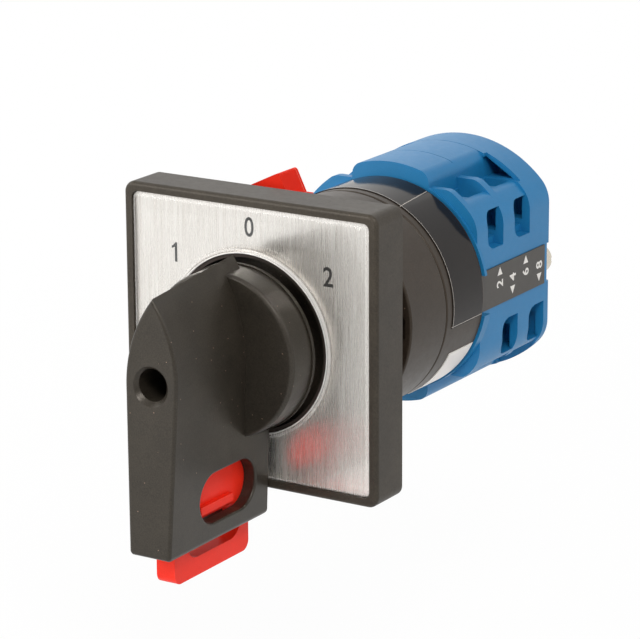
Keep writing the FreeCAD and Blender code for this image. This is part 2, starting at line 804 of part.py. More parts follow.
def latch_housing():
    """The rear cup with the end stops and the bolt bosses."""
    body = rod(housing_radius, latch_front, stack_front)
    body = rounded(body, housing_edge_round, lambda m, d: True)
    body = body.cut(rod(housing_radius - housing_wall, latch_front + housing_face, stack_front + 1))
    for sx in (-1, 1):
        body = body.fuse(rod(bolt_boss_radius, latch_front + 0.7, stack_front, sx * bolt_x, 0))
        start = sx * (switch_angle + stop_lug_half_angle + stop_gap_angle)
        a0, a1 = sorted((start, start + sx * stop_block_angle))
        block = sector(
            housing_radius - 0.5, stop_disc_radius + 2.0, a0, a1, latch_front + 0.7,
            stop_disc_front + stop_disc_thickness)
        body = body.fuse(block)
    for z in (-housing_screw_offset, housing_screw_offset):
        body = body.fuse(rod(housing_post_radius, latch_front + 0.7, latch_front + housing_face + 2.0, 0, z))
        body = body.cut(rod(housing_screw_radius, latch_front - 1, latch_front + housing_face + 1.5, 0, z))
    body = body.common(rod(housing_radius, latch_front, stack_front))
    body = body.cut(rod(journal_radius, latch_front - 1, stack_front + 1))
    for sx in (-1, 1):
        body = body.cut(rod(bolt_radius + bolt_hole_gap, latch_front - 1, stack_front + 1, sx * bolt_x, 0))
        nut_end = latch_front + bolt_nut_sink + bolt_nut_height
        body = body.cut(hexagon(bolt_nut_flats, latch_front - 1, nut_end, sx * bolt_x))
    return body.removeSplitter()


def housing_screws():
    """Two screws that join the front cup to the rear cup."""
    seat = housing_front + housing_screw_head_height + housing_screw_sink
    end = latch_front + housing_face + 1.0
    solids = []
    for z in (-housing_screw_offset, housing_screw_offset):
        head = rod(housing_screw_head_radius, seat - housing_screw_head_height, seat, 0, z)
        solids.append(head.fuse(rod(housing_screw_radius, seat, end, 0, z)))
    return Part.makeCompound(solids)


def hexagon(flats, y0, y1, x):
    """A hexagonal bar along Y."""
    r = flats / math.sqrt(3.0)
    points = [(x + r * math.cos(math.radians(60 * i)), r * math.sin(math.radians(60 * i))) for i in range(6)]
    return prism(points, y0, y1)


def stop_disc():
    """The disc whose lug runs between the end stops."""
    y0, y1 = stop_disc_front, stop_disc_front + stop_disc_thickness
    body = rod(stop_disc_radius, y0, y1)
    body = body.fuse(sector(stop_lug_radius, 1.0, -stop_lug_half_angle, stop_lug_half_angle, y0, y1))
    return body.cut(square_bar(shaft_square, y0 - 1, y1 + 1)).removeSplitter()


def flat_sided(radius, y0, y1):
    """A disc cut flat left and right, with the change from flat to round smoothed."""
    body = rod(radius, y0, y1).common(box(-stage_half_width, stage_half_width, y0 - 1, y1 + 1, -40, 40))
    return rounded(body, lobe_side_round, lambda m, d: runs_along_y(d))


def lobe_block(y0, y1, top):
    """The side lobes of a stage between two depths, flat on top."""
    body = flat_sided(lobe_radius, y0, y1).common(box(-40, 40, y0 - 1, y1 + 1, -top, top))
    return rounded(body, lobe_corner, lambda m, d: runs_along_y(d) and abs(abs(m.z) - top) < 1e-6)


def dome_block(y0, y1):
    """The domed middle of a stage between two depths."""
    body = rod(dome_radius, y0, y1)
    body = body.common(box(-dome_half_width, dome_half_width, y0 - 1, y1 + 1, -40, 40))
    body = rounded(body, dome_corner, lambda m, d: runs_along_y(d))
    groove = ring(dome_radius + 1, dome_radius - seam_groove_depth, y1 - seam_groove_width, y1 + 1)
    return body.cut(groove)


def stage_half(front, rear, fin_front, fin_rear, fin_top, floor):
    """Upper half of a stage: dome, a fin near the front and lobes behind it."""
    body = dome_block(front, rear)
    if fin_front > front:
        disc = rod(front_disc_radius, front, fin_front + 0.5)
        for sx in (-1, 1):
            low, high = sorted((sx * stage_half_width, sx * 40))
            disc = disc.cut(box(low, high, front - 1, rear, -number_strip_half, number_strip_half))
        body = body.fuse(disc)
    body = body.fuse(lobe_block(fin_front, fin_rear, fin_top))
    body = body.fuse(lobe_block(fin_rear, rear, floor))
    return body.common(box(-40, 40, front, rear, 0, 40))


def window_cut(seam, sx):
    """The rounded wire window in one side, open towards the seam."""
    y0, y1 = seam - window_depth, seam + 0.02
    x0, x1 = sorted((sx * (stage_half_width - window_rim - 0.4), sx * (stage_half_width + 2)))
    body = box(x0, x1, y0, y1 + 4, window_low, window_high)
    body = rounded(body, window_corner, lambda m, d: abs(m.y - y0) < 1e-6 and abs(d.x) > 0.5)
    return body.common(box(-40, 40, y0 - 1, y1, 0, 40))


def contact_room(seam):
    """The rooms for one contact pair: bridge, spring, wells and wire ways."""
    y0, y1 = seam - chamber_depth, seam + 0.02
    half = plunger_half_width + plunger_side_gap
    body = box(-chamber_half, chamber_half, y0, y1, chamber_floor, chamber_top)
    body = body.fuse(box(-half, half, y0, y1, 0, chamber_floor + 1))
    body = body.fuse(box(-dome_chamber_half, dome_chamber_half, y0, y1, chamber_top - 1, dome_chamber_top))
    middle = seam - chamber_depth / 2.0
    for sx in (-1, 1):
        low, high = sorted((sx * (chamber_half - 1), sx * well_outer))
        body = body.fuse(box(low, high, y0, y1, chamber_floor, strip_top))
        low, high = sorted((sx * well_inner, sx * well_outer))
        body = body.fuse(box(low, high, y0, y1, chamber_floor, pocket_floor + 1))
        low, high = sorted((sx * (well_outer - 1), sx * (stage_half_width - window_rim)))
        body = body.fuse(box(low, high, y0, y1, chamber_floor, window_high))
        body = body.fuse(window_cut(seam, sx))
        body = body.fuse(post(
            clamp_screw_radius + 0.25, chamber_floor - clamp_screw_tip - 0.6, chamber_floor + 1,
            sx * clamp_x, middle))
    return body


def wall_recesses(face, depth):
    """Recesses in a front wall, behind the wire ways of the stage before."""
    body = None
    for sx in (-1, 1):
        low, high = sorted((sx * well_outer, sx * wall_recess_outer))
        piece = box(low, high, face - 0.02, face + depth, strip_top, window_high)
        body = piece if body is None else body.fuse(piece)
    return body


def bolt_holes(y0, y1):
    """The two long holes for the through bolts."""
    radius = bolt_radius + bolt_hole_gap
    return rod(radius, y0, y1, bolt_x, 0).fuse(rod(radius, y0, y1, -bolt_x, 0))


def stage(index):
    """One blue stage, stepped so that the lower contact sits further back."""
    front_up = stack_front if index == 0 else seam_upper[0]
    front_low = stack_front if index == 0 else seam_lower[0]
    fin_up = front_up + (upper_set_back if index == 0 else 0.0)
    fin_low = front_low + (lower_set_back if index == 0 else 0.0)
    low_end = front_low + (lower_fin_end if index == 0 else fin_thickness)
    upper = stage_half(front_up, seam_upper[index], fin_up, front_up + fin_thickness, lobe_top, pocket_floor)
    lower = stage_half(front_low, seam_lower[index], fin_low, low_end, lower_fin_top, lower_floor)
    lower = turned(lower, 180.0)
    body = upper.fuse(lower)
    body = body.cut(contact_room(seam_upper[index]))
    body = body.cut(turned(contact_room(seam_lower[index]), 180.0))
    if index == 0:
        body = body.cut(rod(cam_bore, stack_front + stage_front_wall, seam_lower[1]))
        body = body.cut(rod(journal_radius, stack_front - 1, stack_front + 10))
    else:
        body = body.cut(rod(cam_bore, stack_front - 1, stack_rear))
        for face, angle in ((front_up, 0.0), (front_low, 180.0)):
            body = body.cut(turned(wall_recesses(face, wall_recess), angle))
    body = body.cut(bolt_holes(stack_front - 1, stack_rear + 1))
    return body.removeSplitter()


def rear_cover():
    """The rear cover: a clipped disc with corner openings and a bolt groove."""
    full = flat_sided(dome_radius, seam_upper[1], stack_rear)
    full = rounded(full, cover_edge_round, lambda m, d: abs(m.y - stack_rear) < 1e-6)
    body = full.common(box(-40, 40, seam_upper[1], 200, 0, 40))
    body = body.fuse(full.common(box(-40, 40, seam_lower[1], 200, -40, 0)))
    for sx in (-1, 1):
        low, high = sorted((sx * dome_half_width, sx * 40))
        body = body.cut(box(low, high, seam_upper[1] - 1, seam_upper[1] + cover_set_back, pocket_floor, 40))
        body = body.cut(box(low, high, seam_lower[1] - 1, seam_lower[1] + cover_set_back, -40, -lower_floor))
        body = body.cut(corner_opening(sx))
        low, high = sorted((sx * rear_groove_from, sx * 40))
        body = body.cut(box(low, high, groove_floor, stack_rear + 1, -rear_groove_half, rear_groove_half))
    body = body.cut(rod(cam_bore, seam_upper[1] - 1, seam_lower[1]))
    body = body.cut(rod(shaft_pin_radius + shaft_play, seam_lower[1] - 1, cam_rear + shaft_pin_length + 0.3))
    body = body.cut(bolt_holes(seam_upper[1] - 1, stack_rear + 1))
    for face, depth, angle in ((seam_upper[1], wall_recess, 0.0), (seam_lower[1], thin_wall_recess, 180.0)):
        body = body.cut(turned(wall_recesses(face, depth), angle))
    return body.removeSplitter()


def corner_opening(sx):
    """The three-cornered opening in the front of the cover, beside the dome."""
    points = [(-0.9, 5.4), (7.2, 0.3), (0.1, 0.0)]
    corners = [(sx * (dome_half_width + across * x), pocket_floor + across * z) for x, z in points]
    return prism(corners, seam_upper[1] - 1, seam_upper[1] + corner_opening_depth)


def track_radius(angle, sign):
    """Radius of a cam track, angle in degrees from its plunger at rest."""
    if abs(angle) <= cam_active_angle:
        return cam_mean_radius - sign * lift_per_degree * angle
    return cam_mean_radius


def track(y0, y1, sign):
    """One cam track for a plunger above the shaft."""
    points = []
    angle = -180.0
    while angle < 180.0:
        r = track_radius(angle, sign)
        points.append((r * math.sin(math.radians(angle)), r * math.cos(math.radians(angle))))
        angle += 6.0
    return prism(points, y0, y1)


def cam(index):
    """One cam with two tracks, for the upper and the lower plunger of a stage."""
    y0 = cam_rear - cam_length * (2 - index)
    split = seam_upper[index] + 0.2
    y1 = y0 + cam_length
    body = track(y0, split, 1.0).fuse(turned(track(split, y1, -1.0), 180.0))
    return body.cut(square_bar(shaft_square, y0 - 1, y1 + 1))


def contact_places():
    """Seam of each contact and whether it sits below the shaft."""
    return [(seam_upper[0], False), (seam_lower[0], True), (seam_upper[1], False), (seam_lower[1], True)]


def placed(solid, below):
    """The solid as modelled above the shaft, or turned to the place below it."""
    return turned(solid, 180.0) if below else solid


def plunger(seam, below):
    """A plunger with a round nose on its cam and a peg for the bridge."""
    y = seam - chamber_depth / 2.0
    centre = nose_rest + nose_round
    body = rod(nose_round, y - nose_half_depth, y + nose_half_depth, 0, centre)
    body = body.fuse(box(
        -plunger_half_width, plunger_half_width, y - plunger_half_depth, y + plunger_half_depth,
        centre, bridge_rest))
    body = body.fuse(post(peg_radius, bridge_rest - 1, bridge_rest + bridge_thickness + peg_height, 0, y))
    return placed(body.removeSplitter(), below)


def bridge(seam, below):
    """The moving contact bridge on a plunger."""
    y = seam - chamber_depth / 2.0
    body = box(
        -bridge_half_length, bridge_half_length, y - bridge_half_depth, y + bridge_half_depth,
        bridge_rest, bridge_rest + bridge_thickness)
    return placed(body.cut(post(peg_radius, bridge_rest - 1, bridge_rest + 5, 0, y)), below)


def contact_spring(seam, below):
    """The spring that presses a bridge towards its fixed contacts."""
    y = seam - chamber_depth / 2.0
    low = bridge_rest + bridge_thickness
    spring = coil(contact_spring_radius, contact_spring_wire, low, dome_chamber_top, contact_spring_turns, 0, y)
    return placed(spring, below)


def fixed_contacts():
    """The eight brass strips, each with a contact rivet."""
    solids = []
    for seam, below in contact_places():
        y = seam - chamber_depth / 2.0
        for sx in (-1, 1):
            low, high = sorted((sx * strip_inner, sx * strip_outer))
            strip = box(low, high, y - strip_half_depth, y + strip_half_depth, chamber_floor, strip_top)
            strip = strip.fuse(post(rivet_radius, strip_top - 0.5, rivet_top, sx * rivet_x, y))
            strip = strip.cut(post(clamp_screw_radius, chamber_floor - 1, strip_top + 1, sx * clamp_x, y))
            solids.append(placed(strip, below))
    return Part.makeCompound(solids)


def clamp_plates():
    """The eight square plates that press on the wires."""
    solids = []
    low = strip_top + wire_gap
    for seam, below in contact_places():
        y = seam - chamber_depth / 2.0
        for sx in (-1, 1):
            x = sx * clamp_x
            plate = box(
                x - clamp_plate_half, x + clamp_plate_half, y - clamp_plate_half, y + clamp_plate_half,
                low, low + clamp_plate_thickness)
            solids.append(placed(plate.cut(post(clamp_screw_radius, low - 1, low + 3, x, y)), below))
    return Part.makeCompound(solids)


def clamp_screws():
    """The eight terminal screws."""
    solids = []
    seat = strip_top + wire_gap + clamp_plate_thickness
    top = seat + clamp_screw_head_height
    for seam, below in contact_places():
        y = seam - chamber_depth / 2.0
        for sx in (-1, 1):
            x = sx * clamp_x
            head = post(clamp_screw_head_radius, seat, top, x, y)
            head = head.cut(box(x - 4, x + 4, y - 0.4, y + 0.4, top - 1.0, top + 1))
            screw = head.fuse(post(clamp_screw_radius, chamber_floor - clamp_screw_tip, seat, x, y))
            solids.append(placed(screw, below))
    return Part.makeCompound(solids)


def through_bolts():
    """The two long bolts that hold cover, stages and rear cup together."""
    solids = []
    for sx in (-1, 1):
        head = rod(bolt_head_radius, groove_floor, groove_floor + bolt_head_height, sx * bolt_x, 0)
        head = rounded(head, bolt_head_round, lambda m, d: m.y > groove_floor + bolt_head_height - 1e-6)
        slot_front = groove_floor + bolt_head_height - bolt_slot_depth
        head = head.cut(box(sx * bolt_x - 4, sx * bolt_x + 4, slot_front, slot_front + 4, -0.5, 0.5))
        shank = rod(bolt_radius, latch_front + bolt_nut_sink, groove_floor, sx * bolt_x, 0)
        solids.append(head.fuse(shank))
    return Part.makeCompound(solids)


def bolt_nuts():
    """The hexagon nuts in the rear cup."""
    solids = []
    for sx in (-1, 1):
        front = latch_front + bolt_nut_sink
        nut = hexagon(bolt_nut_flats, front, front + bolt_nut_height, sx * bolt_x)
        solids.append(nut.cut(rod(bolt_radius, latch_front, latch_front + 10, sx * bolt_x, 0)))
    return Part.makeCompound(solids)


def number_strip(sx):
    """The printed strip with terminal numbers on one side of the stack."""
    x0, x1 = sorted((sx * stage_half_width, sx * (stage_half_width + number_strip_thickness)))
    y0 = stack_front + number_strip_front_margin
    y1 = stack_rear - number_strip_rear_margin
    return box(x0, x1, y0, y1, -number_strip_half, number_strip_half)


def housing_label():
    """The glossy film round the rear cup."""
    rear = stack_front - housing_edge_round - label_rear_margin
    return sector(
        housing_radius + label_thickness, housing_radius + label_seat_gap, label_start_angle, label_end_angle,
        label_front, rear)


def white_sticker():
    """The small white sticker low on the right of the rear cup."""
    rear = stack_front - housing_edge_round - label_rear_margin
    return sector(
        housing_radius + label_thickness, housing_radius + label_seat_gap, sticker_start_angle,
        sticker_end_angle, sticker_front, rear)


def all_pieces():
    """Every piece by the name of its node."""
    pieces = {
        "front_frame": front_frame(), "frame_screws": frame_screws(), "legend_plate": legend_plate(),
        "clear_cover": clear_cover(), "seal_ring": seal_ring(), "handle": handle(),
        "lock_slider": lock_slider(), "slider_spring": slider_spring(), "handle_screw": handle_screw(),
        "shaft": shaft(), "mounting_bracket": mounting_bracket(), "lock_lever": lock_lever(),
        "lever_screw": lever_screw(), "front_housing": front_housing(), "housing_screws": housing_screws(),
        "detent_wheel": detent_wheel(), "detent_springs": detent_springs(), "latch_housing": latch_housing(),
        "stop_disc": stop_disc(), "stage_1": stage(0), "stage_2": stage(1), "rear_cover": rear_cover(),
        "cam_1": cam(0), "cam_2": cam(1), "fixed_contacts": fixed_contacts(),
        "clamp_plates": clamp_plates(), "clamp_screws": clamp_screws(),
        "through_bolts": through_bolts(), "bolt_nuts": bolt_nuts(), "number_strip_right": number_strip(1),
        "number_strip_left": number_strip(-1), "housing_label": housing_label(),
        "white_sticker": white_sticker(),
    }
    for i, (seam, below) in enumerate(contact_places(), 1):
        pieces["plunger_%d" % i] = plunger(seam, below)
        pieces["bridge_%d" % i] = bridge(seam, below)
        pieces["contact_spring_%d" % i] = contact_spring(seam, below)
    return pieces


os.makedirs("parts", exist_ok=True)
for name, shape in all_pieces().items():
    shape.exportStep("parts/%s.step" % name)
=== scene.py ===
import bmesh
import bpy
import math
from mathutils import Matrix, Vector


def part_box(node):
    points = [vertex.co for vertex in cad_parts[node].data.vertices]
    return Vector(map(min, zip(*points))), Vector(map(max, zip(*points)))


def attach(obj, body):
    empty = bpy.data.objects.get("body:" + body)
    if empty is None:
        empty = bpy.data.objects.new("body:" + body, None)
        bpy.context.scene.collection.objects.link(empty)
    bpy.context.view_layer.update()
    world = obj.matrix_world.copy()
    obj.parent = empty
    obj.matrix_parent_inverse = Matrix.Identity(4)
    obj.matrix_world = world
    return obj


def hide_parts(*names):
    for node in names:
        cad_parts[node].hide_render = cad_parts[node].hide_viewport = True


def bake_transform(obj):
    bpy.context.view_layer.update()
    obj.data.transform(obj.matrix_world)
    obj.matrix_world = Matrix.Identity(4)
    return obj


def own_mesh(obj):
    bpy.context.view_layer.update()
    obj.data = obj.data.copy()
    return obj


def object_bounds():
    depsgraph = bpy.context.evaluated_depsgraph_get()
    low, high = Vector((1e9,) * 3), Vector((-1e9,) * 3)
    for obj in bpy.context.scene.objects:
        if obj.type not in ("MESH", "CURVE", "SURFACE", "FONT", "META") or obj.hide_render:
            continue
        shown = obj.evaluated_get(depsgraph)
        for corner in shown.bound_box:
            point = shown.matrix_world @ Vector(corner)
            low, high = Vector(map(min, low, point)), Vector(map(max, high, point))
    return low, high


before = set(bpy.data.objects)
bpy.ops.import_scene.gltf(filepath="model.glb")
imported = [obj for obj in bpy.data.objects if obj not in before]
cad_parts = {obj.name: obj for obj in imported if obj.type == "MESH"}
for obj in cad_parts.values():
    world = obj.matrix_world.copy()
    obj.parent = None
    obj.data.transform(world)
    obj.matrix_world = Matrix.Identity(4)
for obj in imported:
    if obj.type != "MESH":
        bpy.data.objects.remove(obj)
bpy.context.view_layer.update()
mm = 0.001

# Camera. The photograph shows the switch from the front right, a little from above, with a long
# lens. The three angles, the distance and the shift come from points of the switch whose places
# in millimetres are known.
azimuth, elevation, roll = math.radians(32.053), math.radians(15.785), math.radians(-0.3035)
camera_distance = 690.81 * mm
camera_right, camera_up = 9.7 * mm, 2.66 * mm
focal_pixels, picture_width, sensor_width = 3188.92, 640, 36.0

flat = math.cos(elevation)
back = Vector((math.sin(azimuth) * flat, -math.cos(azimuth) * flat, math.sin(elevation)))
level = Vector((math.cos(azimuth), math.sin(azimuth), 0))
above = back.cross(level)
right = math.cos(roll) * level + math.sin(roll) * above
up = math.cos(roll) * above - math.sin(roll) * level


def put(name, data):
    """A new object in the scene, made of a mesh, a lamp, a camera or a text."""
    item = bpy.data.objects.new(name, data)
    bpy.context.scene.collection.objects.link(item)
    return item


camera = put("camera", bpy.data.cameras.new("camera"))
camera.data.sensor_width = sensor_width
camera.data.lens = focal_pixels * sensor_width / picture_width
camera.data.clip_start, camera.data.clip_end = 0.01, 20
camera.matrix_world = Matrix.Translation(
    back * camera_distance + right * camera_right + up * camera_up
) @ Matrix((right, up, back)).transposed().to_4x4()
bpy.context.scene.camera = camera
bpy.context.scene.view_settings.view_transform = "Standard"

# Floor and light. The switch is shown before white paper with soft light from the front left and
# the front right, weaker lights all round, and a white backdrop; the room in front of it is
# darker. The paper keeps a faint shadow, fades into plain white, and is clear from below.


class Wire:
    """A socket in a shader. Sums on it add Math nodes, and add() makes any other node."""

    def __init__(self, tree, socket=None):
        self.tree = tree
        self.socket = socket

    def add(self, kind, settings=None, values=None, out=0):
        """A new node: its settings first, then its sockets' numbers or links. Gives one of its outputs."""
        node = self.tree.nodes.new("ShaderNode" + kind)
        for key, value in (settings or {}).items():
            setattr(node, key, value)
        for key, value in (values or {}).items():
            if isinstance(value, Wire):
                self.tree.links.new(value.socket, node.inputs[key])
            else:
                node.inputs[key].default_value = value
        return Wire(self.tree, node.outputs[out])

    def sum(self, operation, first, second=0.0):
        return self.add("Math", {"operation": operation}, {0: first, 1: second})

    def __add__(self, other):
        return self.sum("ADD", self, other)

    def __radd__(self, other):
        return self.sum("ADD", other, self)

    def __sub__(self, other):
        return self.sum("SUBTRACT", self, other)

    def __rsub__(self, other):
        return self.sum("SUBTRACT", other, self)

    def __mul__(self, other):
        return self.sum("MULTIPLY", self, other)

    def __rmul__(self, other):
        return self.sum("MULTIPLY", other, self)

    def __pow__(self, other):
        return self.sum("POWER", self, other)

    def __rpow__(self, other):
        return self.sum("POWER", other, self)

    def __gt__(self, other):
        return self.sum("GREATER_THAN", self, other)

    def __lt__(self, other):
        return self.sum("LESS_THAN", self, other)

    def size(self):
        """The value without its sign."""
        return self.sum("ABSOLUTE", self)

    def most(self, other):
        """The larger of this value and another."""
        return self.sum("MAXIMUM", self, other)

    def rise(self, low, high):
        """0 below low, 1 above high and even between them."""
        return self.add("MapRange", None, {"Value": self, "From Min": low, "From Max": high})

    def blend(self, low, high):
        """A colour that goes from low to high as this value goes from 0 to 1. A Mix node has its
        colours in its inputs 6 and 7 and its output 2."""
        low, high = (c if isinstance(c, Wire) else (*c, 1) for c in (low, high))
        return self.add("Mix", {"data_type": "RGBA"}, {0: self, 6: low, 7: high}, out=2)

    def noise(self, size, detail=2.0, stretch=(1, 1, 1)):
        """Even noise of that size in metres, from this point of the surface."""
        scale = tuple(1 / (size * s) for s in stretch)
        point = self.add("VectorMath", {"operation": "MULTIPLY"}, {0: self, 1: scale})
        return self.add("TexNoise", None, {
            "Vector": point, "Scale": 1.0, "Detail": detail, "Roughness": 0.55})

    def axis(self, letter):
        """One coordinate of this vector."""
        return self.add("SeparateXYZ", None, {0: self}, out=letter)


def linear(red, green, blue):
    """A colour as seen, 0 to 255, in the shader's linear numbers."""
    seen = [c / 255 for c in (red, green, blue)]
    return tuple(c / 12.92 if c <= 0.04045 else ((c + 0.055) / 1.055) ** 2.4 for c in seen)


def material(name, **constants):
    """A new material: gives the data block, its shader node and the surface point as a Wire."""
    data = bpy.data.materials.new(name)
    data.use_nodes = True
    shader = data.node_tree.nodes["Principled BSDF"]
    for key, value in constants.items():
        shader.inputs[key.replace("_", " ")].default_value = value
    return data, shader, Wire(data.node_tree).add("TexCoord", out="Object")


def feed(node, key, wire):
    """Links a Wire to one socket of a node."""
    wire.tree.links.new(wire.socket, node.inputs[key])


def rays(wire):
    """Whether a ray comes from the camera, off a glossy surface or through a clear one."""
    return [wire.add("LightPath", out="Is %s Ray" % kind) for kind in ("Camera", "Glossy", "Transmission")]


floor_drop, floor_half = 60 * mm, 3
floor_mesh = bpy.data.meshes.new("floor")
floor_corners = [(-floor_half, -floor_half, 0), (floor_half, -floor_half, 0),
                 (floor_half, floor_half, 0), (-floor_half, floor_half, 0)]
floor_mesh.from_pydata(floor_corners, [], [(0, 1, 2, 3)])
floor_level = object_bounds()[0].z - floor_drop
floor = put("floor", floor_mesh)
floor.location = (0, 0, floor_level)
paper, paper_shader, paper_point = material("paper", Roughness=0.9)
feed(paper_shader, "Base Color", paper_point.noise(0.02).blend(linear(244, 244, 244), linear(247, 247, 247)))
from_camera, from_gloss, from_glass = rays(paper_point)
plain = from_camera.most(from_gloss).most(from_glass)
far = paper_point.add("VectorMath", {"operation": "LENGTH"}, {0: paper_point}, out="Value").rise(0.1, 0.5)
near_share = 0.94
whiter = plain * (far * (1 - near_share) + near_share)
lit = Wire(paper.node_tree, paper_shader.outputs[0])
glow = paper_point.add("Emission", None, {"Color": (1, 1, 1, 1), "Strength": 1.0})
upper_side = paper_point.add("MixShader", None, {0: whiter, 1: lit, 2: glow})
below = paper_point.add("NewGeometry", out="Backfacing")
lower_side = paper_point.add("BsdfTransparent")
both_sides = paper_point.add("MixShader", None, {0: below, 1: upper_side, 2: lower_side})
feed(paper.node_tree.nodes["Material Output"], "Surface", both_sides)
floor_mesh.materials.append(paper)

world = bpy.data.worlds.new("room")
bpy.context.scene.world = world
world.use_nodes = True
path = Wire(world.node_tree)
from_camera, from_gloss, from_glass = rays(path)
backdrop = path.add("TexCoord").axis("Y").rise(-0.35, 0.55)
front_share, dim_room = 0.25, (0.22, 0.22, 0.225)
mirrored = from_gloss * (backdrop * (1 - front_share) + front_share)
bright = from_camera.most(from_glass).most(mirrored)
feed(world.node_tree.nodes["Background"], "Color", bright.blend(dim_room, (1.0, 1.0, 1.0)))


def lamp(name, place, size, power, tint=(1.0, 0.98, 0.95)):
    """A square soft light at a place in metres that faces the switch."""
    aim = Vector((0, 0.02, 0))
    light = bpy.data.lights.new(name, "AREA")
    light.shape, light.size, light.energy, light.color = "SQUARE", size, power, tint
    holder = put(name, light)
    holder.location = place
    holder.rotation_euler = (aim - Vector(place)).to_track_quat("-Z", "Y").to_euler()


lamp("overhead", (0.05, -0.15, 0.95), 0.6, 1.3)
lamp("behind", (-0.35, 0.8, 0.42), 0.6, 0.4)
lamp("front_left", (-0.6, -0.85, 0.35), 0.6, 8.2)
lamp("front_right", (0.5, -0.6, 0.75), 0.3, 5.4, (1.0, 0.97, 0.94))
lamp("left", (-0.9, 0.1, 0.5), 0.6, 3.4)
lamp("right", (0.9, 0.1, 0.5), 0.6, 1.6)

# Front frame. One square black moulding with a lip round the front, in which the legend and its
# clear cover lie. It stands on the panel, and a spigot behind it passes through the panel.


def dress(part, finish, edge, segments=2):
    """Gives a part, named as a node or given as an object, its material, and rounds its sharp
    edges by edge in millimetres."""
    sharp, flat_enough = math.radians(32), math.radians(0.6)
    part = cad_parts[part] if isinstance(part, str) else part
    part.data.materials.clear()
    part.data.materials.append(finish)
    part.data.shade_smooth()
    part.data.set_sharp_from_angle(angle=sharp)
    if edge:
        clean = part.modifiers.new("clean", "DECIMATE")
        clean.decimate_type = "DISSOLVE"
        clean.angle_limit = flat_enough
        bevel = part.modifiers.new("edge", "BEVEL")
        bevel.width = edge * mm
        bevel.segments = segments
        bevel.limit_method = "ANGLE"
        bevel.angle_limit = sharp
        weigh = part.modifiers.new("shade", "WEIGHTED_NORMAL")
        weigh.keep_sharp = True


def relief(point, height, strength, depth):
    """The surface direction of a relief of that depth in metres."""
    return point.add("Bump", None, {"Strength": strength, "Distance": depth, "Height": height})


def moulded(name, colour, gloss=0.5, grain=0.3, depth=0.12, dust=0.0, vary=0.12, **constants):
    """A moulded plastic: colour with a slow change and a fine grain, and a few specks of dust.
    gloss is the middle roughness, grain a size in millimetres, depth the strength of its relief,
    dust the share of the cells that hold a speck, and vary the share by which the colour changes."""
    cell_size, speck = 1.9 * mm, 0.06
    data, shader, point = material(name, **constants)
    tone = (point.noise(9 * mm, 3) * 0.35 + point.noise(grain * mm, 2) * 0.65).rise(0.34, 0.66)
    body = tone.blend(tuple(c * (1 - vary) for c in colour), tuple(c * (1 + vary) for c in colour))
    if dust:
        cell = {"Vector": point, "Scale": 1 / cell_size, "Randomness": 1.0}
        near = point.add("TexVoronoi", None, cell) < speck
        chance = point.add("TexVoronoi", None, cell, out="Color").axis("X") < dust
        body = (near * chance * 0.6).blend(body, linear(168, 140, 122))
    feed(shader, "Base Color", body)
    feed(shader, "Roughness", point.noise(1.6 * mm, 3) * 0.14 + (gloss - 0.07))
    feed(shader, "Normal", relief(point, point.noise(grain * mm, 2), depth, 0.05 * mm))
    return data


warm = (1.0, 0.94, 0.86, 1)
frame_black = moulded("frame_black", linear(52, 47, 40), 0.46, depth=0.3, dust=0.3, vary=0.4, IOR=1.4,
                      Specular_Tint=warm)
dress("front_frame", frame_black, 0.12)

# Frame screws. Four zinc plated cheese-head screws under the legend plate, which draw the frame,
# the panel and the bracket together.


def plated(name, colour, rough, swirl=1.2):
    """A bright metal: faint marks of turning and handling in its colour and its gloss."""
    data, shader, point = material(name, Metallic=1.0)
    marks = point.noise(swirl * mm, 4, (1, 0.35, 1))
    feed(shader, "Base Color", marks.blend(tuple(c * 0.86 for c in colour), colour))
    feed(shader, "Roughness", marks * 0.2 + (rough - 0.1))
    feed(shader, "Normal", relief(point, point.noise(0.3 * mm, 3), 0.1, 0.02 * mm))
    return data


zinc = plated("zinc_plate", linear(205, 207, 205), 0.32)
dress("frame_screws", zinc, 0.1)

# Legend plate. A thin brushed silver sheet with the three positions of the handle printed on it
# in dark grey. The brushing runs upright, and its fine lines blur what the metal mirrors.
silver, silver_shader, silver_point = material("brushed_silver", Metallic=0.84, Anisotropic=0.72)
line = silver_point.noise(0.2 * mm, 2, (1, 1, 90))
band = silver_point.noise(0.5 * mm, 2, (1, 1, 50))
tone = line * 0.75 + band * 0.25
feed(silver_shader, "Base Color", tone.rise(0.3, 0.7).blend(linear(226, 219, 212), linear(255, 250, 245)))
feed(silver_shader, "Roughness", line * 0.16 + 0.19)
feed(silver_shader, "Normal", relief(silver_point, line, 0.08, 0.03 * mm))
dress("legend_plate", silver, 0.0)

legend_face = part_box("legend_plate")[0].y
ink = moulded("print_grey", linear(26, 23, 21), 0.6, depth=0.02, vary=0.05)
ink_base, ink_top = 0.002 * mm, 0.012 * mm


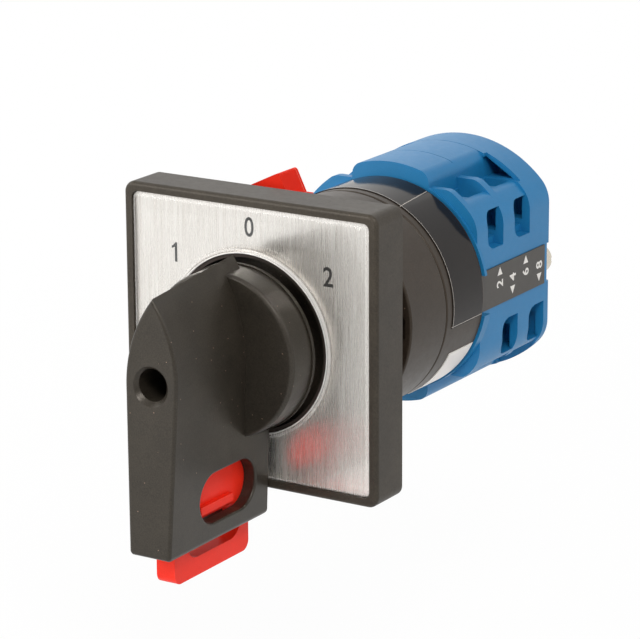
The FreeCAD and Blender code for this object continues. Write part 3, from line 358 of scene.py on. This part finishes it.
def printed(name, sign, height, place, across, upward, colour, body, width, bold):
    """A printed digit of that height, laid flat at a place and ten microns thick. Its width is
    scaled, and bold thickens its strokes. The figure 1 is drawn here, for its slanted flag."""
    if sign == "1":
        outline = [(0.2, 0), (0.36, 0), (0.36, 1), (0.24, 1), (0.13, 0.87), (0, 0.8), (0, 0.67), (0.2, 0.77)]
        count = len(outline)
        mesh = bpy.data.meshes.new(name)
        sides = [(i, (i + 1) % count, (i + 1) % count + count, i + count) for i in range(count)]
        mesh.from_pydata([(x, y, z) for z in (0, 0.1) for x, y in outline], [], [
            tuple(range(count))[::-1], tuple(range(count, 2 * count)), *sides])
    else:
        curve = bpy.data.curves.new(name, "FONT")
        curve.body, curve.extrude, curve.offset = sign, 0.01, bold
        text = put(name, curve)
        bpy.context.view_layer.update()
        mesh = bpy.data.meshes.new_from_object(text.evaluated_get(bpy.context.evaluated_depsgraph_get()))
        bpy.data.objects.remove(text)
    xs, ys = ([v.co[i] for v in mesh.vertices] for i in (0, 1))
    scale = height / (max(ys) - min(ys))
    outward = across.cross(upward)
    for v in mesh.vertices:
        u = (v.co.x - (min(xs) + max(xs)) / 2) * scale * width
        w = (v.co.y - (min(ys) + max(ys)) / 2) * scale
        lift = ink_top if v.co.z > 0 else ink_base
        v.co = place + across * u + upward * w + outward * lift
    piece = put(name, mesh)
    mesh.materials.clear()
    mesh.materials.append(colour)
    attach(piece, body)


ahead, upright = Vector((1, 0, 0)), Vector((0, 0, 1))
position_height = 4.3 * mm
positions = [("0", -0.3, 25.4, 0.84, 0.012), ("1", -19.6, 17.4, 0.9, 0), ("2", 19.4, 17.1, 0.9, 0.014)]
for sign, x, z, width, bold in positions:
    place = Vector((x * mm, legend_face, z * mm))
    printed("position_" + sign, sign, position_height, place, ahead, upright, ink, "housing", width, bold)

# Clear cover. A clear moulded plate over the legend, bevelled round its edge, with a raised double
# rim round the opening for the hub. It lies in the lip of the frame and replaces the plain solid.
# Its border, bevel, rim and opening carry painted highlights in part-clear white, with thin painted dark
# lines.
cover_low, cover_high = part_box("clear_cover")
cover_half = cover_high.x
hub_opening = 19.84 * mm
rim_height, rim_outside, rim_groove = 0.7 * mm, 1.2 * mm, 0.42 * mm
cover_face = cover_low.y + rim_height
cover_back = cover_high.y - 0.03 * mm

# Each row of points has a form, a half width, a depth, and a corner radius in millimetres. The
# rows run round the border, over the face and the rim, and down the opening to the back.
cover_rows = [
    ("square", cover_half, cover_back, 1.5),
    ("square", cover_half, cover_face + 0.7 * mm, 1.5),
    ("square", cover_half - 0.15 * mm, cover_face + 0.5 * mm, 1.4),
    ("square", cover_half - 0.62 * mm, cover_face + 0.06 * mm, 0.9),
    ("square", cover_half - 0.8 * mm, cover_face, 0.8),
    ("circle", hub_opening + 1.24 * mm, cover_face, 0),
    ("circle", hub_opening + rim_outside, cover_face - 0.38 * mm, 0),
    ("circle", hub_opening + 1.1 * mm, cover_face - 0.56 * mm, 0),
    ("circle", hub_opening + 0.92 * mm, cover_face - 0.66 * mm, 0),
    ("circle", hub_opening + 0.6 * mm, cover_face - 0.69 * mm, 0),
    ("circle", hub_opening + rim_groove, cover_face - 0.6 * mm, 0),
    ("circle", hub_opening + 0.26 * mm, cover_face - 0.69 * mm, 0),
    ("circle", hub_opening + 0.06 * mm, cover_face - 0.66 * mm, 0),
    ("circle", hub_opening + 0.01 * mm, cover_face - 0.56 * mm, 0),
    ("circle", hub_opening + 0.01 * mm, cover_back, 0),
]
face_row, back_row = 4, len(cover_rows) - 1


def outline_point(form, size, corner, turn):
    """A point (x, z) of a circle or of a square with round corners, at that part of a full turn."""
    angle = 2 * math.pi * turn
    c, s = math.cos(angle), math.sin(angle)
    if form == "circle":
        return size * c, size * s
    reach = size / max(abs(c), abs(s))
    x, z = reach * c, reach * s
    round_in = size - corner * mm
    if abs(x) > round_in and abs(z) > round_in:
        across, over = abs(x) - round_in, abs(z) - round_in
        length = math.hypot(across, over)
        x = math.copysign(round_in + corner * mm * across / length, x)
        z = math.copysign(round_in + corner * mm * over / length, z)
    return x, z


cover_steps = 256
corners, faces = [], []
for form, size, depth, corner in cover_rows:
    for step in range(cover_steps):
        x, z = outline_point(form, size, corner, (step + 0.5) / cover_steps)
        corners.append((x, depth, z))
for row in range(len(cover_rows)):
    first, second = row * cover_steps, (row + 1) % len(cover_rows) * cover_steps
    for step in range(cover_steps):
        after = (step + 1) % cover_steps
        faces.append((first + step, second + step, second + after, first + after))
cover_mesh = bpy.data.meshes.new("cover")
cover_mesh.from_pydata(corners, [], faces)
cover_mesh.polygons.foreach_set("material_index", [
    0 if i // cover_steps in (face_row, back_row) else 1 for i in range(len(faces))])
cover_mesh.shade_smooth()
cover_mesh.set_sharp_from_angle(angle=math.radians(50))

clear = bpy.data.materials.new("clear_plastic")
clear.use_nodes = True
clear.node_tree.nodes.remove(clear.node_tree.nodes["Principled BSDF"])
clear_start = Wire(clear.node_tree)
clear_slant = clear_start.add("LayerWeight", None, {"Blend": 0.5}, out="Facing")
clear_share = clear_slant ** 5 * 0.9 + 0.04
clear_gloss = clear_start.add("BsdfGlossy", None, {"Roughness": 0.05, "Color": (1, 1, 1, 1)})
clear_through = clear_start.add("BsdfTransparent", None, {"Color": (0.985, 0.99, 0.99, 1)})
clear_mix = clear_start.add("MixShader", None, {0: clear_share, 1: clear_through, 2: clear_gloss})
feed(clear.node_tree.nodes["Material Output"], "Surface", clear_mix)
# Painted light on the clear plastic: a part-clear white is a painted highlight on its border, bevel, rim and
# opening. Thin grey rings at the rim's outer edge and in its groove are painted shade, and a stronger white
# along the opening's edge is a painted highlight.
clear_edge_painted_glints, edge_shader, edge_point = material("clear_edge_painted_glints", Roughness=0.1)
edge_reach = (edge_point.axis("X") ** 2 + edge_point.axis("Z") ** 2) ** 0.5
outside_line = (edge_reach - (hub_opening + rim_outside)).size() < 0.09 * mm
groove_line = (edge_reach - (hub_opening + rim_groove)).size() < 0.1 * mm
painted_inner_glint = (edge_reach - (hub_opening + 0.14 * mm)).size() < 0.14 * mm
painted_dark_lines = outside_line.most(groove_line)
feed(edge_shader, "Base Color", painted_dark_lines.blend(linear(250, 249, 247), linear(120, 118, 114)))
feed(edge_shader, "Alpha", painted_dark_lines * 0.2 + painted_inner_glint * 0.5 + 0.25)
cover_mesh.materials.append(clear)
cover_mesh.materials.append(clear_edge_painted_glints)
cover = put("cover", cover_mesh)
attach(cover, "housing")
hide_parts("clear_cover")

# Seal ring. A soft dark brown ring that lines the hub opening and keeps dust out; its edge is a
# little rough.
seal = moulded("seal_brown", linear(46, 36, 30), 0.75, grain=0.5, depth=0.6)
dress("seal_ring", seal, 0.06)

# Handle. One black moulding: a round hub and a pointed grip blade with a bore for its screw,
# a window for a padlock and a slot for the red slider. The lower end of the blade is rounded all
# round, which a copy of the plain solid gets here.
grip = moulded("handle_black", linear(42, 38, 32), 0.36, depth=0.3, dust=0.5, vary=0.4, IOR=1.46,
               Specular_Tint=warm)
foot_round, foot_steps = 1.25 * mm, 6
slot_half, slot_end = 2.7 * mm, 1.5 * mm
same_point = 1e-7
plain_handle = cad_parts["handle"]
handle_mesh = plain_handle.data.copy()
handle_mesh.transform(plain_handle.matrix_world)
foot = min(v.co.z for v in handle_mesh.vertices)
work = bmesh.new()
work.from_mesh(handle_mesh)
for step in range(1, foot_steps + 1):
    height = foot + foot_round * (1 - math.cos(math.pi / 2 * step / foot_steps))
    bmesh.ops.bisect_plane(work, geom=work.verts[:] + work.edges[:] + work.faces[:],
                           dist=same_point, plane_co=(0, 0, height), plane_no=(0, 0, 1))
low_ring = [v for v in work.verts if v.co.z < foot + foot_round]
foot_half = max(v.co.x for v in low_ring)
foot_front, foot_back = (f(v.co.y for v in low_ring) for f in (min, max))
foot_middle, foot_reach = (foot_front + foot_back) / 2, (foot_back - foot_front) / 2
for v in low_ring:
    in_slot = abs(v.co.x) <= slot_half and foot_front + slot_end <= v.co.y <= foot_back - slot_end
    if not in_slot:
        rest = foot_round - (v.co.z - foot)
        draw = foot_round - math.sqrt(max(foot_round ** 2 - rest ** 2, 0))
        v.co.x *= 1 - draw / foot_half
        v.co.y += (foot_middle - v.co.y) * draw / foot_reach
work.to_mesh(handle_mesh)
work.free()
handle = put("turning_handle", handle_mesh)
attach(handle, "rotor")
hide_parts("handle")
dress(handle, grip, 0.18, 3)

# Handle screw and shaft. The screw sits deep in the bore and draws the handle onto the square
# steel shaft that runs through the whole switch.
dress("handle_screw", zinc, 0.08)
steel = plated("bright_steel", linear(186, 188, 190), 0.3, 0.8)
dress("shaft", steel, 0.0)

# Slider. A red moulding that is pushed up into the blade for locking; its rib gives a grip for
# the finger, and a small coil spring pushes it out again.
red = moulded("slider_red", linear(238, 44, 24), 0.42, depth=0.05, vary=0.04, IOR=1.3)
dress("lock_slider", red, 0.22, 3)


def coil(name, node, wire, turns, finish):
    """A compression spring of round wire in the place of a node, upright, with closed end turns.
    Its end turns rise by the wire's thickness only, and the active ones share the rest."""
    low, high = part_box(node)
    centre, length = (low + high) / 2, high.z - low.z - 3 * wire
    radius, sides, steps = (high.x - low.x - wire) / 2, 8, 24
    corners, faces = [], []
    for step in range(turns * steps + 1):
        turn = step / steps
        active = min(max((turn - 1) / (turns - 2), 0), 1)
        closed = min(turn, 1) + max(turn - turns + 1, 0)
        level = low.z + wire / 2 + wire * closed + length * active
        outward = Vector((math.cos(2 * math.pi * turn), math.sin(2 * math.pi * turn), 0))
        for side in range(sides):
            angle = 2 * math.pi * side / sides
            reach = radius + wire / 2 * math.cos(angle)
            spot = Vector((centre.x, centre.y, level + wire / 2 * math.sin(angle))) + outward * reach
            corners.append(spot)
    for step in range(turns * steps):
        for side in range(sides):
            first, after = step * sides + side, step * sides + (side + 1) % sides
            faces.append((first, first + sides, after + sides, after))
    faces.append(tuple(range(sides)))
    faces.append(tuple(range(turns * steps * sides, (turns * steps + 1) * sides))[::-1])
    mesh = bpy.data.meshes.new(name)
    mesh.from_pydata(corners, [], faces)
    mesh.shade_smooth()
    mesh.set_sharp_from_angle(angle=math.radians(50))
    mesh.materials.append(finish)
    piece = put(name, mesh)
    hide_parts(node)
    return piece


push_spring = coil("push_spring", "slider_spring", 0.5 * mm, 7, steel)
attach(push_spring, "rotor")
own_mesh(push_spring)

# Bracket. A square black moulding with a round neck, behind the panel. The four frame screws cut
# their threads in its corners.
case = moulded("case_black", linear(50, 42, 34), 0.4, dust=0.2, vary=0.3, IOR=1.38, Specular_Tint=warm)
dress("mounting_bracket", case, 0.15)

# Lever. A red moulding that turns on a shoulder screw on the bracket; its tongue holds the
# switch body. A light line near its rear edge, where the mould parts, is a painted highlight.
parting_place, parting_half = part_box("lock_lever")[1].y - 0.75 * mm, 0.06 * mm
lever_red, lever_shader, lever_point = material("lever_red", IOR=1.2)
# The light line where the mould parts is a painted highlight: the place is real, its lightness is painted
# light.
painted_parting_highlight = (lever_point.axis("Y") - parting_place).size() < parting_half
lever_tone = lever_point.noise(8 * mm).blend(linear(222, 36, 18), linear(234, 46, 24))
feed(lever_shader, "Base Color", (painted_parting_highlight * 0.6).blend(lever_tone, linear(250, 150, 130)))
feed(lever_shader, "Roughness", lever_point.noise(2 * mm) * 0.12 + 0.44)
feed(lever_shader, "Normal", relief(lever_point, lever_point.noise(0.2 * mm), 0.06, 0.05 * mm))
dress("lock_lever", lever_red, 0.25, 3)
dress("lever_screw", zinc, 0.1)

# Cups. Two round black mouldings a little browner than the handle. The front one holds the
# detent, the rear one the end stops, and two screws join them.
for name in ("front_housing", "latch_housing"):
    dress(name, case, 0.1)
dress("housing_screws", zinc, 0.08)
nylon = moulded("nylon", linear(222, 219, 206), 0.5, depth=0.04, vary=0.03)
for name in ("detent_wheel", "stop_disc"):
    dress(name, nylon, 0.1)
dress("detent_springs", steel, 0.0)

# Label and sticker. A glossy black film round the rear cup, with a fine light line along its
# front edge, its lower end and across its upper part, and a small white sticker. Both are bare.
film_radius = 25 * mm
film_front, film_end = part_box("housing_label")[0].y + 0.3 * mm, math.radians(98.8)
across_start, across_angle = 33.3 * mm, math.radians(27)
across_lean = math.radians(2.6) / (13.6 * mm)
line_half, across_half = 0.07 * mm, 0.1 * mm
film, film_shader, film_point = material("label_film", IOR=1.26)
film_y = film_point.axis("Y")
film_angle = film_point.sum("ARCTAN2", film_point.axis("X"), film_point.axis("Z"))
front_line = (film_y - film_front).size() < line_half
end_line = (film_angle - film_end).size() < line_half / film_radius
slanted = film_angle + (film_y - across_start) * across_lean - across_angle
across_line = slanted.size() < across_half / film_radius
lines = front_line.most(end_line).most(across_line)
film_tone = film_point.noise(7 * mm, 3).blend(linear(24, 22, 21), linear(38, 33, 30))
feed(film_shader, "Base Color", (lines * 0.75).blend(film_tone, linear(205, 198, 190)))
feed(film_shader, "Roughness", film_point.noise(3 * mm, 3) * 0.08 + 0.1)
feed(film_shader, "Normal", relief(film_point, film_point.noise(2.5 * mm), 0.08, 0.05 * mm))
dress("housing_label", film, 0.0)
white = moulded("sticker_white", linear(232, 229, 225), 0.4, depth=0.02, vary=0.02)
dress("white_sticker", white, 0.0)

# Contact stack. Three blue mouldings, two stages and a cover, stepped so that the lower contacts
# lie further back. Each has a fine even grain.
blue = moulded("stack_blue", linear(28, 119, 173), 0.42, depth=0.1, vary=0.06, IOR=1.43)
for name in ("stage_1", "stage_2", "rear_cover"):
    dress(name, blue, 0.16)

# Number strips. Dark grey printed strips on both sides of the stack. A digit names each terminal
# and an arrow points to its wire way.
strip_grey = moulded("strip_grey", linear(66, 63, 59), 0.42, depth=0.04, vary=0.05, IOR=1.4)
white_ink = moulded("print_white", linear(232, 230, 226), 0.5, depth=0.02, vary=0.02)
terminals = [(59.3, 1), (65.4, -1), (71.6, 1), (78.2, -1)]
terminal_height, arrow_away = 2.9 * mm, 3.0 * mm
digit_middle, digit_shift = 0.3 * mm, -0.1 * mm


def arrow(name, place, side, point_up, colour):
    """A printed triangle beside a digit, with its point up or down."""
    half, reach = 1.15 * mm, 0.95 * mm * point_up
    outline = [(-half, -reach), (half, -reach), (0, reach)]
    corners = [(place.x + side * lift, place.y + y, place.z + z)
               for lift in (ink_base, ink_top) for y, z in outline]
    mesh = bpy.data.meshes.new(name)
    mesh.from_pydata(corners, [], [(0, 2, 1), (3, 4, 5), (0, 1, 4, 3), (1, 2, 5, 4), (2, 0, 3, 5)])
    mesh.materials.append(colour)
    piece = put(name, mesh)
    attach(piece, "housing")


for side, strip, first in ((1, "number_strip_right", 2), (-1, "number_strip_left", 1)):
    dress(strip, strip_grey, 0.06)
    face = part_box(strip)[1].x if side > 0 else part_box(strip)[0].x
    for step, (y, point_up) in enumerate(terminals):
        sign = str(first + 2 * step)
        place = Vector((face, y * mm, digit_middle + digit_shift * point_up))
        upward = Vector((0, -side, 0))
        printed("terminal_" + sign, sign, terminal_height, place, upright, upward, white_ink,
                "housing", 0.95, 0.02)
        beside = Vector((face, y * mm, place.z + arrow_away * point_up))
        arrow("arrow_" + sign, beside, side, point_up, white_ink)

# Cams and contacts. Nylon cams on the shaft lift nylon plungers against coil springs, and the
# brass bridges on the plungers close on brass strips, which end in the terminal clamps.
brass = plated("brass", linear(226, 190, 112), 0.3)
for name in ("cam_1", "cam_2"):
    dress(name, nylon, 0.0)
dress("fixed_contacts", brass, 0.0)
for step in range(1, 5):
    dress("plunger_%d" % step, nylon, 0.0)
    dress("bridge_%d" % step, brass, 0.0)
    node = "contact_spring_%d" % step
    spring = coil("bridge_spring_%d" % step, node, 0.6 * mm, 6, steel)
    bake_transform(spring)
for name in ("clamp_plates", "clamp_screws"):
    dress(name, zinc, 0.0)

# Through bolts. Two long nickel plated screws from the rear hold the cover, the stages and the
# rear cup together; their nuts lie in the cup.
nickel = plated("nickel", linear(214, 206, 190), 0.25)
for name in ("through_bolts", "bolt_nuts"):
    dress(name, nickel, 0.1)
